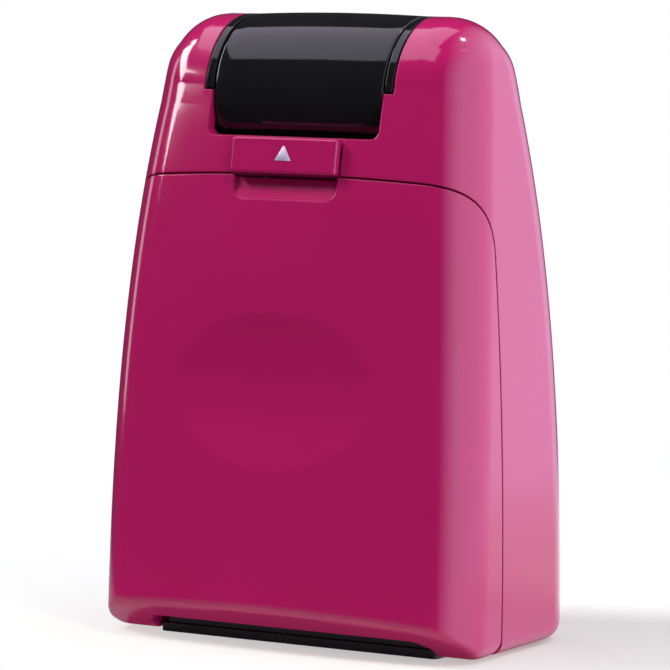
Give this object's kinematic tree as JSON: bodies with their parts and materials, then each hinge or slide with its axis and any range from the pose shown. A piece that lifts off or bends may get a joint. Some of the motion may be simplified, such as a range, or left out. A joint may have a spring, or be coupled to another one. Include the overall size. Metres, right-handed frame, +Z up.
{
  "type": "handheld privacy roller stamp",
  "caption": "Handheld privacy roller stamp: tapered housing with a front door, a sliding latch, a turning hood that opens a shutter, and a wide inked stamp roller at the foot.",
  "frame": {"origin": "centre of the housing's width and nominal depth, on the plane that the foot stands on", "axes": "+Z up, the front door faces -Y, +X to the right seen from the front"},
  "size_m": [0.062, 0.0389, 0.0894],
  "materials": {
    "housing": "glossy magenta moulded plastic",
    "hood_gloss": "polished black plastic",
    "black_plastic": "satin black plastic",
    "inner_plastic": "dark grey moulded plastic",
    "steel": "plain steel pins and screws",
    "stamp_rubber": "dark stamp rubber",
    "felt": "ink-soaked felt"
  },
  "bodies": {
    "housing": {"rear_shell": "housing", "side_plate_left": "inner_plastic", "side_plate_right": "inner_plastic", "frame_tie_upper": "inner_plastic", "frame_tie_lower": "inner_plastic", "frame_screw_upper_left": "steel", "frame_screw_upper_right": "steel", "frame_screw_lower_left": "steel", "frame_screw_lower_right": "steel", "hood_axle": "steel", "inner_dome": "black_plastic", "shutter_pivot_left": "steel", "shutter_pivot_right": "steel", "door_pin_left": "steel", "door_pin_right": "steel", "cartridge_cheek_left": "inner_plastic", "cartridge_cheek_right": "inner_plastic", "cartridge_bar": "inner_plastic", "stamp_axle": "steel", "ink_axle": "steel"},
    "door": {"front_door": "housing"},
    "latch_body": {"latch": "housing"},
    "hood": {"hood_panel": "hood_gloss", "hood_carrier": "black_plastic", "hood_crank_left": "black_plastic", "hood_crank_right": "black_plastic", "crank_pin_upper_left": "steel", "crank_pin_upper_right": "steel"},
    "links": {"link_rod_left": "black_plastic", "link_rod_right": "black_plastic"},
    "shutter_body": {"shutter": "black_plastic", "crank_pin_lower_left": "steel", "crank_pin_lower_right": "steel"},
    "foot_body": {"foot": "black_plastic"},
    "stamp_roller": {"stamp_core": "inner_plastic", "stamp_sleeve": "stamp_rubber"},
    "ink_roller": {"ink_core": "inner_plastic", "ink_felt": "felt"}
  },
  "joints": [
    {"name": "door_hinge", "type": "hinge", "parent": "housing", "child": "door", "pos_m": [0, -0.0084, 0.0035], "axis": [1, 0, 0], "range_deg": [0, 65]},
    {"name": "latch_slide", "type": "slide", "parent": "housing", "child": "latch_body", "axis": [0, 0.1736, 0.9848], "range_m": [0, 0.0016]},
    {"name": "hood_turn", "type": "hinge", "parent": "housing", "child": "hood", "pos_m": [0, 0.0023, 0.0774], "axis": [-1, 0, 0], "range_deg": [0, 70]},
    {"name": "link_turn", "type": "hinge", "parent": "hood", "child": "links", "pos_m": [0, 0.0064, 0.08027], "axis": [-1, 0, 0], "range_deg": [-70, 0]},
    {"name": "shutter_turn", "type": "hinge", "parent": "housing", "child": "shutter_body", "pos_m": [0, 0, 0.0093], "axis": [-1, 0, 0], "range_deg": [0, 70]},
    {"name": "foot_press", "type": "slide", "parent": "housing", "child": "foot_body", "axis": [0, 0, 1], "range_m": [0, 0.0018]},
    {"name": "stamp_spin", "type": "hinge", "parent": "housing", "child": "stamp_roller", "pos_m": [0, 0, 0.0093], "axis": [1, 0, 0], "continuous": true},
    {"name": "ink_spin", "type": "hinge", "parent": "housing", "child": "ink_roller", "pos_m": [0, 0, 0.0236], "axis": [1, 0, 0], "continuous": true}
  ],
  "couplings": [
    {"joint": "link_turn", "follows": "hood_turn", "ratio": -1},
    {"joint": "shutter_turn", "follows": "hood_turn", "ratio": 1},
    {"joint": "ink_spin", "follows": "stamp_spin", "ratio": -1.3333}
  ]
}
